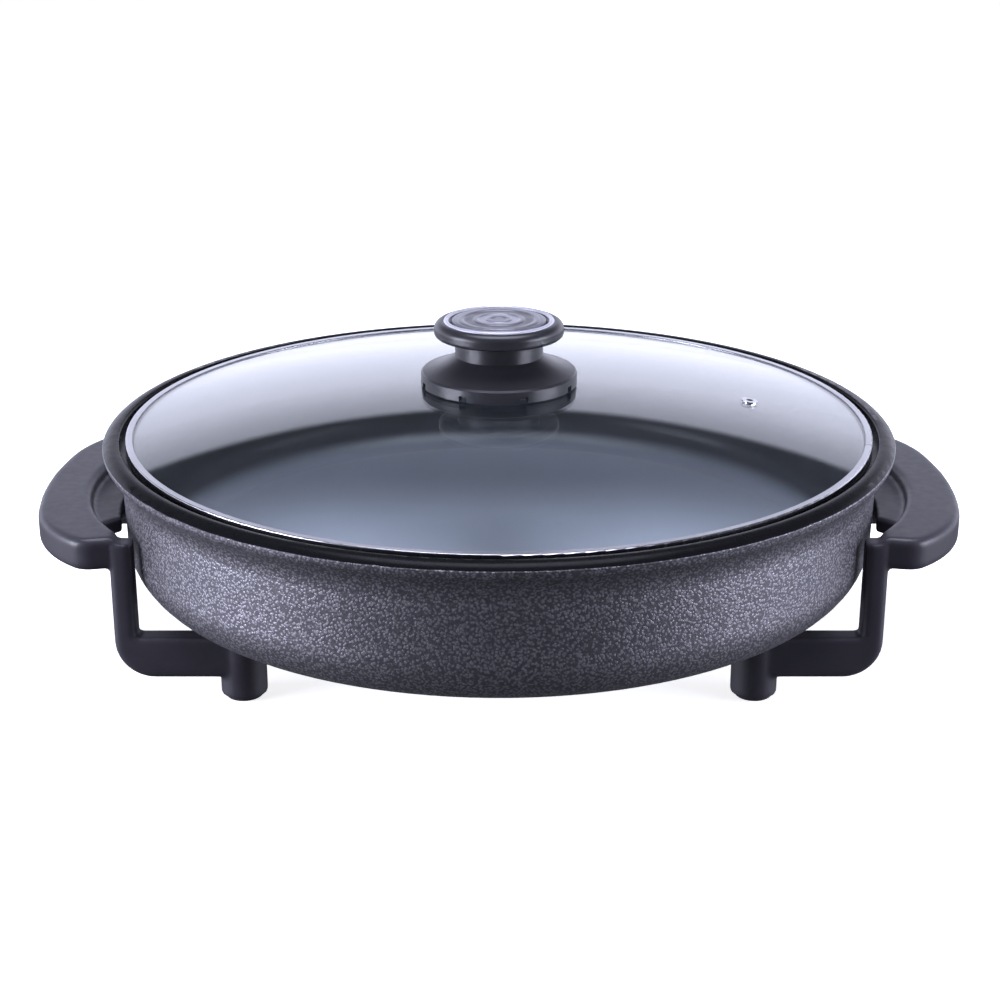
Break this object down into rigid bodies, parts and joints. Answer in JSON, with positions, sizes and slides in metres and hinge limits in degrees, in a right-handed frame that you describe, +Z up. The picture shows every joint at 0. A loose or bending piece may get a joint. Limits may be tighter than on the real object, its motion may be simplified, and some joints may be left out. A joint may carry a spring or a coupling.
{
  "type": "electric griddle pan",
  "caption": "Round deep electric griddle pan with hammered grey walls, black crescent handles on bent legs and a domed glass lid with a mushroom knob.",
  "frame": {"origin": "on the table, under the centre of the pan", "axes": "+X towards the right-hand handle, +Y towards the back, where the mains inlet is, +Z up"},
  "size_m": [0.49, 0.42, 0.1798],
  "materials": {
    "pan_coat": "cast, hammered dark grey paint outside, smooth grey non-stick coat inside",
    "bakelite": "satin black phenolic",
    "cap_plastic": "turned concentric rings",
    "glass": "clear tempered",
    "polished_steel": "bright stainless",
    "steel": "plain",
    "brass": "turned",
    "ceramic": "unglazed",
    "silicone": "matte silicone",
    "rubber": "matte"
  },
  "bodies": {
    "base": {"pan": "pan_coat", "heating_element": "steel", "element_seals": "ceramic", "terminal_pin_left": "steel", "terminal_pin_right": "steel", "inlet_guard": "steel", "inlet_screws": "steel", "handle_frame_left": "bakelite", "handle_frame_right": "bakelite", "handle_screws_left": "steel", "handle_screws_right": "steel", "foot_bolts": "steel", "foot_washers": "steel", "foot_pad_front_left": "rubber", "foot_pad_back_left": "rubber", "foot_pad_front_right": "rubber", "foot_pad_back_right": "rubber"},
    "lid": {"lid_glass": "glass", "lid_band": "polished_steel", "vent_grommet": "polished_steel", "knob_gasket_upper": "silicone", "knob_gasket_lower": "silicone", "knob_washer": "steel", "knob_screw": "steel", "knob_insert": "brass", "knob_skirt": "bakelite", "knob_grip": "bakelite", "knob_cap": "cap_plastic"}
  },
  "joints": [
    {"name": "lid_lift", "type": "slide", "parent": "base", "child": "lid", "axis": [0, 0, 1], "range_m": [0, 0.15]}
  ]
}
